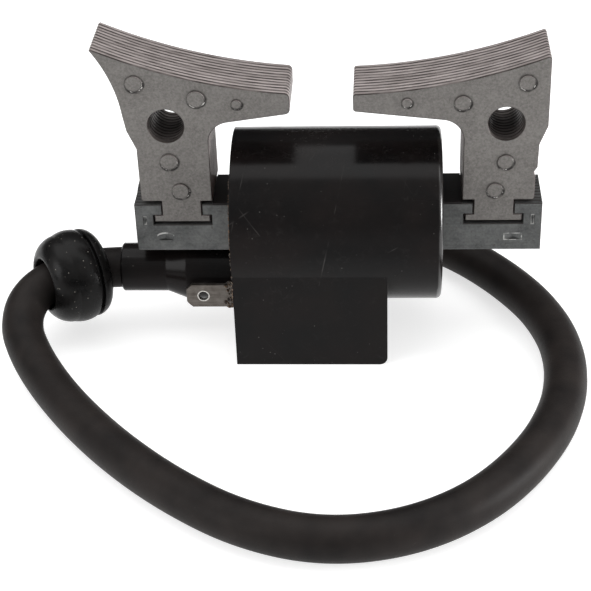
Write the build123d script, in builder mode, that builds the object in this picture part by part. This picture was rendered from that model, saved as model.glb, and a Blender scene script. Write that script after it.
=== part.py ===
"""Ignition coil for a small single-cylinder engine, modelled in millimetres.

Frame: the origin is midway between the two mounting holes, at mid-thickness of the laminations.
+X runs along the core from the high-tension side to the free side, +Y runs away from the face
that carries the interlock bumps, and +Z points at the flywheel.
"""

import math
import os

from build123d import *

# ---------------------------------------------------------------- driving dimensions (mm)
HOLE_SPACING = 60.0  # between the two M6 mounting holes
HOLE_DIA = 6.4
POLE_ARC_RADIUS = 102.5  # flywheel radius plus the air gap
POLE_ARC_CENTRE_Z = 108.3

LAM_COUNT = 11
STACK_THICKNESS = 12.0
LAM_THICK = STACK_THICKNESS / LAM_COUNT
CORE_LAM_COUNT = 10  # the core bar has one sheet fewer than the pole shoes
LAM_EDGE_BREAK = 0.14  # rolled edge left by the punch
INTERLOCK_HEIGHT = 0.42
INTERLOCK_CLEARANCE = 0.03

CORE_HALF_LENGTH = 37.05
CORE_TOP_Z = -16.0
CORE_BOTTOM_Z = -25.7
SLOT_CENTRE_X = 28.3  # dovetail slots that hold the two pole shoes
SLOT_NECK = 7.4
SLOT_WIDTH = 10.7
SLOT_LEDGE_Z = -18.2
SLOT_FLOOR_Z = -20.2
SHOE_NECK = 7.2
SHOE_FOOT = 10.2
SHOE_FOOT_Z = -19.55
SHOE_SHOULDER_Z = -15.25
STEM_INNER_X = 22.6
STEM_OUTER_X = 35.6

HOUSING_RADIUS = 16.0
HOUSING_WALL = 1.5
HOUSING_AXIS_Z = -21.15
HOUSING_OPEN_X = -18.9
HOUSING_CLOSED_X = 19.0
BLOCK_RIGHT_X = 9.15
BLOCK_HALF_DEPTH = 15.3
BASE_Z = -45.0  # the flat that the coil stands on

LEAD_DIA = 7.7
LEAD_BORE_DIA = 2.0
CONDUCTOR_DIA = 1.5
BOSS_AXIS_Z = -32.95
BOSS_MOUTH_X = -41.2
BOSS_SOCKET_X = -36.8  # bottom of the socket that the lead sits in

CAP_AXIS_Y = 29.3
CAP_RADIUS = 7.3
CAP_AXIS_Z = BASE_Z + CAP_RADIUS
CAP_TAIL_X = -9.7  # where the lead enters the cap
LEAD_END_X = -17.0
CAP_MOUTH_X = -42.0
PLUG_BORE_DIA = 10.3

# ---------------------------------------------------------------- derived values
CORE_MID_Z = (CORE_TOP_Z + CORE_BOTTOM_Z) / 2
CORE_HEIGHT = CORE_TOP_Z - CORE_BOTTOM_Z
HALF_STACK = STACK_THICKNESS / 2
CORE_DEPTH = CORE_LAM_COUNT * LAM_THICK
CORE_MID_Y = CORE_DEPTH / 2 - HALF_STACK  # its front is flush with the shoes
LEAD_RADIUS = LEAD_DIA / 2
LEAD_LYING_Z = BASE_Z + LEAD_RADIUS
SLIP = 0.03  # line-to-line clearance between fitted pieces
LEAD_FIT = 0.08  # clearance round the lead where it enters the tower and the cap

FRONT_FACE = Plane.XZ.offset(HALF_STACK)
FRONT_LAM_BACK = Plane.XZ.offset(HALF_STACK - LAM_THICK)

os.makedirs("parts", exist_ok=True)


def pole_arc_z(x):
    """Height of the concave pole face at x."""
    return POLE_ARC_CENTRE_Z - math.sqrt(POLE_ARC_RADIUS**2 - x**2)


def save(part, name):
    """Label one finished piece and write its STEP file."""
    part.label = name
    export_step(part, f"parts/{name}.step")


def stack_of(lamination, name, count=LAM_COUNT):
    """Repeat the front lamination through the stack, each one its own solid."""
    copies = [lamination.moved(Location((0, index * LAM_THICK, 0))) for index in range(count)]
    save(Compound(children=copies), name)


def save_group(solids, name):
    """Write several separate solids of one kind as one node."""
    save(Compound(children=list(solids)), name)


# ---------------------------------------------------------------- pole shoe profiles (X, Z)
LEFT_TIP = (-42.3, 14.6)
LEFT_INNER_X = -7.9
RIGHT_TIP_X = 37.3
RIGHT_INNER_X = 3.2
UNDERSIDE_FILLET = 4.0
CORNER_FILLET = 0.5
NOSE_FILLET = 0.95

with BuildSketch(Plane.XZ) as left_shoe_profile:
    with BuildLine():
        arc_start = (LEFT_TIP[0] + 0.3, pole_arc_z(LEFT_TIP[0] + 0.3))
        arc_end = (LEFT_INNER_X, pole_arc_z(LEFT_INNER_X))
        arc_middle = (-25.0, pole_arc_z(-25.0))
        ThreePointArc(arc_start, arc_middle, arc_end)
        Polyline(
            arc_end,
            (LEFT_INNER_X, 2.2),
            (-STEM_INNER_X, 0.07),
            (-STEM_INNER_X, SHOE_SHOULDER_Z),
            (-SLOT_CENTRE_X + SHOE_NECK / 2, SHOE_SHOULDER_Z),
            (-SLOT_CENTRE_X + SHOE_NECK / 2, SLOT_LEDGE_Z),
            (-SLOT_CENTRE_X + SHOE_FOOT / 2, SLOT_LEDGE_Z),
            (-SLOT_CENTRE_X + SHOE_FOOT / 2, SHOE_FOOT_Z),
            (-SLOT_CENTRE_X - SHOE_FOOT / 2, SHOE_FOOT_Z),
            (-SLOT_CENTRE_X - SHOE_FOOT / 2, SLOT_LEDGE_Z),
            (-SLOT_CENTRE_X - SHOE_NECK / 2, SLOT_LEDGE_Z),
            (-SLOT_CENTRE_X - SHOE_NECK / 2, SHOE_SHOULDER_Z),
            (-STEM_OUTER_X, SHOE_SHOULDER_Z),
            (-STEM_OUTER_X, -4.6),
            (-37.1, -1.0),
            (-37.6, 2.0),
        )
        ThreePointArc((-37.6, 2.0), (-39.25, 8.9), LEFT_TIP)
        Line(LEFT_TIP, arc_start)
    make_face()
    inner_bend = left_shoe_profile.vertices().sort_by_distance((-STEM_INNER_X, 0.07))[0]
    fillet(inner_bend, UNDERSIDE_FILLET)
    shoulder = left_shoe_profile.vertices().sort_by_distance((-STEM_OUTER_X, SHOE_SHOULDER_Z))[0]
    fillet(shoulder, CORNER_FILLET)
    for corner in ((LEFT_INNER_X, 2.2), arc_end):
        fillet(left_shoe_profile.vertices().sort_by_distance(corner)[0], NOSE_FILLET)

with BuildSketch(Plane.XZ) as right_shoe_profile:
    with BuildLine():
        arc_start = (RIGHT_INNER_X, pole_arc_z(RIGHT_INNER_X))
        arc_middle = (20.0, pole_arc_z(20.0))
        arc_end = (RIGHT_TIP_X, pole_arc_z(RIGHT_TIP_X))
        ThreePointArc(arc_start, arc_middle, arc_end)
        Polyline(
            arc_end,
            (RIGHT_TIP_X, -0.6),
            (35.9, -4.2),
            (35.8, -8.7),
            (35.15, -9.7),
            (35.5, -10.6),
            (35.5, SHOE_SHOULDER_Z),
            (SLOT_CENTRE_X + SHOE_NECK / 2, SHOE_SHOULDER_Z),
            (SLOT_CENTRE_X + SHOE_NECK / 2, SLOT_LEDGE_Z),
            (SLOT_CENTRE_X + SHOE_FOOT / 2, SLOT_LEDGE_Z),
            (SLOT_CENTRE_X + SHOE_FOOT / 2, SHOE_FOOT_Z),
            (SLOT_CENTRE_X - SHOE_FOOT / 2, SHOE_FOOT_Z),
            (SLOT_CENTRE_X - SHOE_FOOT / 2, SLOT_LEDGE_Z),
            (SLOT_CENTRE_X - SHOE_NECK / 2, SLOT_LEDGE_Z),
            (SLOT_CENTRE_X - SHOE_NECK / 2, SHOE_SHOULDER_Z),
            (STEM_INNER_X, SHOE_SHOULDER_Z),
            (STEM_INNER_X, 0.35),
            (RIGHT_INNER_X, 2.55),
            arc_start,
        )
    make_face()
    inner_bend = right_shoe_profile.vertices().sort_by_distance((STEM_INNER_X, 0.35))[0]
    fillet(inner_bend, UNDERSIDE_FILLET)
    for corner in ((RIGHT_INNER_X, 2.55), arc_start, arc_end, (35.5, SHOE_SHOULDER_Z)):
        fillet(right_shoe_profile.vertices().sort_by_distance(corner)[0], CORNER_FILLET)

# Round interlocks, (x, z, radius), punched proud of the front face and nesting behind it.
LEFT_INTERLOCKS = (
    (-35.0, 8.3, 1.5),
    (-24.3, 5.3, 1.55),
    (-17.2, 4.2, 0.85),
    (-29.9, -7.1, 1.55),
    (-28.2, -13.1, 1.5),
)
RIGHT_INTERLOCKS = (
    (33.3, 7.9, 1.4),
    (22.3, 4.1, 1.4),
    (12.6, 4.2, 0.85),
    (30.1, -7.5, 1.4),
    (28.4, -13.2, 1.4),
)


def edges_on(part, y):
    """Edges that lie wholly in the plane at y."""
    return part.edges().filter_by_position(Axis.Y, y - 1e-4, y + 1e-4)


# ---------------------------------------------------------------- left pole shoe
with BuildPart() as left_lamination:
    with BuildSketch(FRONT_LAM_BACK) as left_blank:
        add(left_shoe_profile.sketch_local)
        with Locations((-HOLE_SPACING / 2, 0)):
            Circle(HOLE_DIA / 2, mode=Mode.SUBTRACT)
    extrude(amount=LAM_THICK)
    chamfer(edges_on(left_lamination, -HALF_STACK), LAM_EDGE_BREAK)
    chamfer(edges_on(left_lamination, -HALF_STACK + LAM_THICK), LAM_EDGE_BREAK)
    for x, z, radius in LEFT_INTERLOCKS:
        with BuildSketch(FRONT_FACE):
            with Locations((x, z)):
                Circle(radius)
        extrude(amount=INTERLOCK_HEIGHT)
        with BuildSketch(FRONT_LAM_BACK):
            with Locations((x, z)):
                Circle(radius + INTERLOCK_CLEARANCE)
        extrude(amount=INTERLOCK_HEIGHT + INTERLOCK_CLEARANCE, mode=Mode.SUBTRACT)

stack_of(left_lamination.part, "left_pole_laminations")

# ---------------------------------------------------------------- right pole shoe
with BuildPart() as right_lamination:
    with BuildSketch(FRONT_LAM_BACK) as right_blank:
        add(right_shoe_profile.sketch_local)
        with Locations((HOLE_SPACING / 2, 0)):
            Circle(HOLE_DIA / 2, mode=Mode.SUBTRACT)
    extrude(amount=LAM_THICK)
    chamfer(edges_on(right_lamination, -HALF_STACK), LAM_EDGE_BREAK)
    chamfer(edges_on(right_lamination, -HALF_STACK + LAM_THICK), LAM_EDGE_BREAK)
    for x, z, radius in RIGHT_INTERLOCKS:
        with BuildSketch(FRONT_FACE):
            with Locations((x, z)):
                Circle(radius)
        extrude(amount=INTERLOCK_HEIGHT)
        with BuildSketch(FRONT_LAM_BACK):
            with Locations((x, z)):
                Circle(radius + INTERLOCK_CLEARANCE)
        extrude(amount=INTERLOCK_HEIGHT + INTERLOCK_CLEARANCE, mode=Mode.SUBTRACT)

stack_of(right_lamination.part, "right_pole_laminations")

# ---------------------------------------------------------------- core bar
# V-shaped lances, (x, z, length along X, length along Z): they valley in at the front.
CORE_LANCES = (
    (-31.7, -22.9, 3.1, 1.2),
    (-35.25, -19.3, 0.8, 2.0),
    (31.95, -22.9, 3.1, 1.2),
    (35.4, -19.3, 0.8, 2.0),
)
LANCE_DEPTH = 0.5


def lance(x, z, size_x, size_z, front_y, depth):
    """A V-section wedge whose ridge points into the stack, its mouth at front_y."""
    along_x = size_x > size_z
    half = max(size_x, size_z) / 2
    width = min(size_x, size_z)
    if along_x:
        section = Plane(origin=(x, front_y, z - width / 2), x_dir=(1, 0, 0), z_dir=(0, 0, 1))
    else:
        section = Plane(origin=(x - width / 2, front_y, z), x_dir=(0, 0, -1), z_dir=(1, 0, 0))
    with BuildPart() as wedge:
        with BuildSketch(section):
            with BuildLine():
                Polyline((-half, 0), (half, 0), (0, depth), close=True)
            make_face()
        extrude(amount=width)
    return wedge.part


with BuildPart() as core_lamination:
    with BuildSketch(FRONT_LAM_BACK):
        with Locations((0, CORE_MID_Z)):
            Rectangle(2 * CORE_HALF_LENGTH, CORE_HEIGHT)
        slot_drop = SLOT_LEDGE_Z - SLOT_FLOOR_Z
        with Locations((-SLOT_CENTRE_X, 0), (SLOT_CENTRE_X, 0)):
            with Locations((0, (SLOT_LEDGE_Z + SLOT_FLOOR_Z) / 2)):
                Rectangle(SLOT_WIDTH, slot_drop, mode=Mode.SUBTRACT)
            with Locations((0, (CORE_TOP_Z + SLOT_LEDGE_Z) / 2)):
                Rectangle(SLOT_NECK, CORE_TOP_Z - SLOT_LEDGE_Z, mode=Mode.SUBTRACT)
    extrude(amount=LAM_THICK)
    chamfer(edges_on(core_lamination, -HALF_STACK), LAM_EDGE_BREAK)
    chamfer(edges_on(core_lamination, -HALF_STACK + LAM_THICK), LAM_EDGE_BREAK)
    for x, z, size_x, size_z in CORE_LANCES:
        ridge = lance(x, z, size_x - 0.1, size_z - 0.06, -HALF_STACK + LAM_THICK, LANCE_DEPTH - 0.04)
        add(ridge)
        valley = lance(x, z, size_x, size_z, -HALF_STACK, LANCE_DEPTH)
        add(valley, mode=Mode.SUBTRACT)

stack_of(core_lamination.part, "core_laminations", CORE_LAM_COUNT)

# ---------------------------------------------------------------- moulded housing
INNER_RADIUS = HOUSING_RADIUS - HOUSING_WALL
CAVITY_END_X = HOUSING_CLOSED_X - HOUSING_WALL
CAVITY_FLOOR_Z = BASE_Z + HOUSING_WALL
CORE_WINDOW_WIDTH = CORE_DEPTH + 0.3
CORE_WINDOW_TOP = CORE_TOP_Z + 0.65
CORE_WINDOW_BOTTOM = CORE_BOTTOM_Z - 0.2


def block_sketch_size(wall):
    """Length and centre of the electronics block in X, less a wall on its closed sides."""
    length = BLOCK_RIGHT_X - wall - HOUSING_OPEN_X
    centre = (BLOCK_RIGHT_X - wall + HOUSING_OPEN_X) / 2
    return length, centre


with BuildPart() as coil_housing:
    block_length, block_centre = block_sketch_size(0)
    with BuildSketch(Plane.XY.offset(BASE_Z)):
        with Locations((block_centre, 0)):
            Rectangle(block_length, 2 * BLOCK_HALF_DEPTH)
    extrude(amount=HOUSING_AXIS_Z - BASE_Z)
    block_end = coil_housing.faces().sort_by(Axis.X)[-1]
    fillet(block_end.edges().filter_by(Axis.Y).sort_by(Axis.Z)[0], 1.5)
    with BuildSketch(Plane.YZ.offset(HOUSING_OPEN_X)):
        with Locations((0, HOUSING_AXIS_Z)):
            Circle(HOUSING_RADIUS)
    extrude(amount=HOUSING_CLOSED_X - HOUSING_OPEN_X)
    closed_rim = coil_housing.faces().sort_by(Axis.X)[-1].edges()
    fillet(closed_rim, 0.9)
    with BuildSketch(Plane.YZ.offset(HOUSING_OPEN_X)):
        with Locations((0, HOUSING_AXIS_Z)):
            Circle(INNER_RADIUS)
    extrude(amount=CAVITY_END_X - HOUSING_OPEN_X, mode=Mode.SUBTRACT)
    cavity_length, cavity_centre = block_sketch_size(HOUSING_WALL)
    with BuildSketch(Plane.XY.offset(CAVITY_FLOOR_Z)):
        with Locations((cavity_centre, 0)):
            Rectangle(cavity_length, 2 * BLOCK_HALF_DEPTH - 2 * HOUSING_WALL)
    extrude(amount=HOUSING_AXIS_Z - CAVITY_FLOOR_Z, mode=Mode.SUBTRACT)
    with BuildSketch(Plane.YZ.offset(CAVITY_END_X)):
        with Locations((CORE_MID_Y, (CORE_WINDOW_TOP + CORE_WINDOW_BOTTOM) / 2)):
            Rectangle(CORE_WINDOW_WIDTH, CORE_WINDOW_TOP - CORE_WINDOW_BOTTOM)
    extrude(amount=HOUSING_WALL, mode=Mode.SUBTRACT)

save(coil_housing.part, "coil_housing")

# ---------------------------------------------------------------- primary bobbin and winding
BOBBIN_WALL = 0.8
BOBBIN_FIT = 0.08
BOBBIN_LEFT_X = -18.3
BOBBIN_RIGHT_X = 17.4
BOBBIN_WIDTH = STACK_THICKNESS + 2 * BOBBIN_FIT + 2 * BOBBIN_WALL
BOBBIN_HEIGHT = CORE_HEIGHT + 2 * BOBBIN_FIT + 2 * BOBBIN_WALL
FLANGE_THICK = 0.8
PRIMARY_LEFT_X = -16.0
PRIMARY_RIGHT_X = 15.6
PRIMARY_BUILD = 1.15  # depth of the wound copper
TONGUE_TOP_Z = CORE_TOP_Z + 0.3
TAPE_THICK = 0.18

with BuildPart() as primary_bobbin:
    with BuildSketch(Plane.YZ.offset(BOBBIN_LEFT_X)):
        with Locations((0, CORE_MID_Z)):
            Rectangle(BOBBIN_WIDTH, BOBBIN_HEIGHT)
    extrude(amount=BOBBIN_RIGHT_X - BOBBIN_LEFT_X)
    for flange_x in (PRIMARY_LEFT_X, PRIMARY_RIGHT_X - FLANGE_THICK):
        with BuildSketch(Plane.YZ.offset(flange_x)):
            with Locations((0, CORE_MID_Z)):
                RectangleRounded(BOBBIN_WIDTH + 2.5, BOBBIN_HEIGHT + 2.5, 1.4)
        extrude(amount=FLANGE_THICK)
    with BuildSketch(Plane.YZ.offset(BOBBIN_LEFT_X)):
        with Locations((CORE_MID_Y, CORE_MID_Z)):
            Rectangle(CORE_DEPTH + 2 * BOBBIN_FIT, CORE_HEIGHT + 2 * BOBBIN_FIT)
    extrude(amount=BOBBIN_RIGHT_X - BOBBIN_LEFT_X, mode=Mode.SUBTRACT)
    for tongue_start, tongue_end in ((-STEM_INNER_X, BOBBIN_LEFT_X), (BOBBIN_RIGHT_X, STEM_INNER_X)):
        with BuildSketch(Plane.XY.offset(CORE_TOP_Z + BOBBIN_FIT)):
            with Locations(((tongue_start + tongue_end) / 2, CORE_MID_Y)):
                Rectangle(tongue_end - tongue_start, CORE_DEPTH)
        extrude(amount=TONGUE_TOP_Z - CORE_TOP_Z - BOBBIN_FIT)

save(primary_bobbin.part, "primary_bobbin")

WINDING_LEFT_X = PRIMARY_LEFT_X + FLANGE_THICK + SLIP
WINDING_LENGTH = PRIMARY_RIGHT_X - PRIMARY_LEFT_X - 2 * FLANGE_THICK - 2 * SLIP

with BuildPart() as primary_winding:
    with BuildSketch(Plane.YZ.offset(WINDING_LEFT_X)):
        with Locations((0, CORE_MID_Z)):
            RectangleRounded(BOBBIN_WIDTH + 2 * PRIMARY_BUILD, BOBBIN_HEIGHT + 2 * PRIMARY_BUILD, 1.3)
            Rectangle(BOBBIN_WIDTH + 2 * SLIP, BOBBIN_HEIGHT + 2 * SLIP, mode=Mode.SUBTRACT)
    extrude(amount=WINDING_LENGTH)

save(primary_winding.part, "primary_winding")

with BuildPart() as winding_tape:
    wound = 2 * PRIMARY_BUILD + 2 * SLIP
    wrapped = wound + 2 * TAPE_THICK
    with BuildSketch(Plane.YZ.offset(WINDING_LEFT_X)):
        with Locations((0, CORE_MID_Z)):
            RectangleRounded(BOBBIN_WIDTH + wrapped, BOBBIN_HEIGHT + wrapped, 1.5)
            RectangleRounded(BOBBIN_WIDTH + wound, BOBBIN_HEIGHT + wound, 1.3, mode=Mode.SUBTRACT)
    extrude(amount=WINDING_LENGTH)

save(winding_tape.part, "winding_tape")

# ---------------------------------------------------------------- secondary bobbin and winding
SECONDARY_BORE = 10.65
SECONDARY_TUBE = 11.3
SECONDARY_FLANGE = 13.4
SECTION_COUNT = 6
SECTION_FLANGE = 0.7
SECONDARY_BUILD = 1.6
SECONDARY_LENGTH = PRIMARY_RIGHT_X - PRIMARY_LEFT_X
SECTION_PITCH = (SECONDARY_LENGTH - SECTION_FLANGE) / SECTION_COUNT

with BuildPart() as secondary_bobbin:
    with BuildSketch(Plane.YZ.offset(PRIMARY_LEFT_X)):
        with Locations((0, CORE_MID_Z)):
            Circle(SECONDARY_TUBE)
    extrude(amount=SECONDARY_LENGTH)
    for index in range(SECTION_COUNT + 1):
        with BuildSketch(Plane.YZ.offset(PRIMARY_LEFT_X + index * SECTION_PITCH)):
            with Locations((0, CORE_MID_Z)):
                Circle(SECONDARY_FLANGE)
        extrude(amount=SECTION_FLANGE)
    with BuildSketch(Plane.YZ.offset(PRIMARY_LEFT_X)):
        with Locations((0, CORE_MID_Z)):
            Circle(SECONDARY_BORE)
    extrude(amount=SECONDARY_LENGTH, mode=Mode.SUBTRACT)

save(secondary_bobbin.part, "secondary_bobbin")

section_rings = []
for index in range(SECTION_COUNT):
    ring_start = PRIMARY_LEFT_X + index * SECTION_PITCH + SECTION_FLANGE + SLIP
    with BuildPart() as section_ring:
        with BuildSketch(Plane.YZ.offset(ring_start)):
            with Locations((0, CORE_MID_Z)):
                Circle(SECONDARY_TUBE + SECONDARY_BUILD)
                Circle(SECONDARY_TUBE + SLIP, mode=Mode.SUBTRACT)
        extrude(amount=SECTION_PITCH - SECTION_FLANGE - 2 * SLIP)
    section_rings.append(section_ring.part)

save_group(section_rings, "secondary_winding")

# ---------------------------------------------------------------- high-tension tower
TOWER_RADIUS = 4.6
TOWER_BASE_RADIUS = 6.1
TOWER_INNER_RADIUS = 5.6
TOWER_INNER_END_X = -16.45
SPIKE_DIA = 1.8
RESIN_FACE_X = HOUSING_OPEN_X + 0.4

TOWER_AXIS = Axis((0, 0, BOSS_AXIS_Z), (1, 0, 0))
TOWER_PLANE = Plane(origin=(0, 0, BOSS_AXIS_Z), x_dir=(1, 0, 0), z_dir=(0, -1, 0))

with BuildPart() as ht_tower:
    with BuildSketch(TOWER_PLANE):
        with BuildLine():
            Polyline(
                (BOSS_SOCKET_X, SPIKE_DIA / 2 + SLIP),
                (BOSS_SOCKET_X, LEAD_RADIUS + LEAD_FIT),
                (BOSS_MOUTH_X, LEAD_RADIUS + LEAD_FIT),
                (BOSS_MOUTH_X, TOWER_RADIUS - 0.25),
                (BOSS_MOUTH_X + 0.25, TOWER_RADIUS),
                (-32.6, TOWER_RADIUS),
                (-28.6, TOWER_BASE_RADIUS),
                (RESIN_FACE_X - 0.1, TOWER_BASE_RADIUS),
                (RESIN_FACE_X - 0.1, TOWER_INNER_RADIUS),
                (TOWER_INNER_END_X, TOWER_INNER_RADIUS),
                (TOWER_INNER_END_X, SPIKE_DIA / 2 + SLIP),
                close=True,
            )
        make_face()
    revolve(axis=TOWER_AXIS)

save(ht_tower.part, "ht_tower")

with BuildPart() as ht_contact_spike:
    spike_tip_x = BOSS_SOCKET_X - 2.5
    with BuildSketch(TOWER_PLANE):
        with BuildLine():
            Polyline(
                (spike_tip_x, 0),
                (spike_tip_x, 0.15),
                (BOSS_SOCKET_X - 0.9, SPIKE_DIA / 2),
                (TOWER_INNER_END_X + 0.03, SPIKE_DIA / 2),
                (TOWER_INNER_END_X + 0.03, 1.9),
                (PRIMARY_LEFT_X - 0.02, 1.9),
                (PRIMARY_LEFT_X - 0.02, 0),
                close=True,
            )
        make_face()
    revolve(axis=TOWER_AXIS)

save(ht_contact_spike.part, "ht_contact_spike")

# ---------------------------------------------------------------- spade terminal
SPADE_PLANE_Y = -8.0
SPADE_THICK = 0.8
SPADE_HEIGHT = 4.75
SPADE_MID_Z = -34.25
SPADE_TIP_X = -28.4
SPADE_INNER_X = -15.4
SPADE_HOLE_X = -25.2
SPADE_HOLE_DIA = 1.9
SPADE_CHAMFER = 1.1
BOARD_TOP_Z = -41.4
BOARD_THICK = 1.2

with BuildPart() as spade_terminal:
    with BuildSketch(Plane.XZ.offset(-SPADE_PLANE_Y - SPADE_THICK / 2)):
        with Locations(((SPADE_TIP_X + SPADE_INNER_X) / 2, SPADE_MID_Z)):
            Rectangle(SPADE_INNER_X - SPADE_TIP_X, SPADE_HEIGHT)
        leg_height = SPADE_MID_Z - BOARD_TOP_Z
        with Locations((SPADE_INNER_X - 1.0, BOARD_TOP_Z + leg_height / 2)):
            Rectangle(2.0, leg_height)
        with Locations((SPADE_HOLE_X, SPADE_MID_Z)):
            Circle(SPADE_HOLE_DIA / 2, mode=Mode.SUBTRACT)
    extrude(amount=SPADE_THICK)
    tip_corners = spade_terminal.edges().filter_by(Axis.Y).group_by(Axis.X)[0]
    chamfer(tip_corners, SPADE_CHAMFER)
    tip_face = spade_terminal.faces().sort_by(Axis.X)[0]
    chamfer(tip_face.edges().filter_by(Axis.Z), 0.22)

save(spade_terminal.part, "spade_terminal")

# ---------------------------------------------------------------- electronics in the block
with BuildPart() as circuit_board:
    with BuildSketch(Plane.XY.offset(BOARD_TOP_Z - BOARD_THICK)):
        with Locations((-5.2, 0)):
            RectangleRounded(23.6, 25.0, 0.8)
    extrude(amount=BOARD_THICK)

save(circuit_board.part, "circuit_board")

TRANSISTOR_X = 1.6
TRANSISTOR_Y = 6.0
with BuildPart() as switching_transistor:
    with BuildSketch(Plane.XY.offset(BOARD_TOP_Z)):
        with Locations((TRANSISTOR_X, TRANSISTOR_Y)):
            Rectangle(8.0, 10.6)
    extrude(amount=2.7)
    chamfer(switching_transistor.faces().sort_by(Axis.Z)[-1].edges(), 0.4)
    with Locations((TRANSISTOR_X, TRANSISTOR_Y + 2.6, BOARD_TOP_Z + 2.7)):
        Hole(1.55, depth=2.0)

save(switching_transistor.part, "switching_transistor")

LEG_PITCH = 2.28
transistor_legs = []
for index in (-1, 0, 1):
    with BuildPart() as transistor_leg:
        leg_x = TRANSISTOR_X + index * LEG_PITCH
        with BuildSketch(Plane.YZ.offset(leg_x - 0.35)):
            with BuildLine():
                Polyline(
                    (TRANSISTOR_Y - 5.3, BOARD_TOP_Z + 1.6),
                    (TRANSISTOR_Y - 7.6, BOARD_TOP_Z + 1.6),
                    (TRANSISTOR_Y - 7.6, BOARD_TOP_Z),
                    (TRANSISTOR_Y - 7.1, BOARD_TOP_Z),
                    (TRANSISTOR_Y - 7.1, BOARD_TOP_Z + 1.1),
                    (TRANSISTOR_Y - 5.3, BOARD_TOP_Z + 1.1),
                    close=True,
                )
            make_face()
        extrude(amount=0.7)
    transistor_legs.append(transistor_leg.part)

save_group(transistor_legs, "transistor_legs")

RESISTOR_RADIUS = 1.15
RESISTOR_LENGTH = 6.2
RESISTOR_Y = 8.0
RESISTOR_XS = (-13.0, -9.6, -6.2)
resistor_bodies = []
for resistor_x in RESISTOR_XS:
    with BuildPart() as resistor:
        with BuildSketch(Plane.XZ.offset(-RESISTOR_Y - RESISTOR_LENGTH / 2)):
            with Locations((resistor_x, BOARD_TOP_Z + RESISTOR_RADIUS)):
                Circle(RESISTOR_RADIUS)
        extrude(amount=RESISTOR_LENGTH)
        fillet(resistor.edges(), 0.5)
    resistor_bodies.append(resistor.part)

save_group(resistor_bodies, "board_resistors")

with BuildPart() as film_capacitor:
    with BuildSketch(Plane.XY.offset(BOARD_TOP_Z)):
        with Locations((-9.4, 0.4)):
            Rectangle(7.4, 3.2)
    extrude(amount=5.2)
    fillet(film_capacitor.edges().filter_by(Axis.Z), 0.6)
    fillet(film_capacitor.faces().sort_by(Axis.Z)[-1].edges(), 0.5)

save(film_capacitor.part, "film_capacitor")

DIODE_RADIUS = 1.3
with BuildPart() as clamp_diode:
    with BuildSketch(Plane.YZ.offset(-9.0)):
        with Locations((-8.6, BOARD_TOP_Z + DIODE_RADIUS)):
            Circle(DIODE_RADIUS)
    extrude(amount=5.2)
    fillet(clamp_diode.edges(), 0.3)

save(clamp_diode.part, "clamp_diode")

# Enamelled wires from the primary down to the board, past the end of the secondary bobbin.
WIRE_RADIUS = 0.3
wire_runs = []
for wire_y in (-5.0, 5.0):
    with BuildPart() as primary_wire:
        with BuildLine() as wire_path:
            FilletPolyline(
                (PRIMARY_RIGHT_X + 0.03, wire_y, -27.2),
                (16.5, wire_y, -27.2),
                (16.5, wire_y, -33.85),
                (5.0 + 0.1 * wire_y, wire_y, -33.85),
                (5.0 + 0.1 * wire_y, wire_y, BOARD_TOP_Z if wire_y < 0 else BOARD_TOP_Z + 2.75),
                radius=0.55,
            )
        with BuildSketch(Plane(origin=wire_path.line @ 0, z_dir=wire_path.line % 0)):
            Circle(WIRE_RADIUS)
        sweep(path=wire_path.line)
    wire_runs.append(primary_wire.part)

save_group(wire_runs, "primary_wires")

# Earth wire: from the board, out of the resin and along the back face of the core.
EARTH_RADIUS = 0.45
EARTH_Z = -22.6
EARTH_Y = CORE_DEPTH - HALF_STACK + EARTH_RADIUS + 0.02
with BuildPart() as earth_wire:
    with BuildLine() as earth_path:
        FilletPolyline(
            (-17.3, 8.2, BOARD_TOP_Z),
            (-17.3, 8.2, EARTH_Z),
            (-19.7, 8.2, EARTH_Z),
            (-21.2, EARTH_Y, EARTH_Z),
            (-24.0, EARTH_Y, EARTH_Z),
            radius=0.9,
        )
    with BuildSketch(Plane(origin=earth_path.line @ 0, z_dir=earth_path.line % 0)):
        Circle(EARTH_RADIUS)
    sweep(path=earth_path.line)

save(earth_wire.part, "earth_wire")

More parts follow.
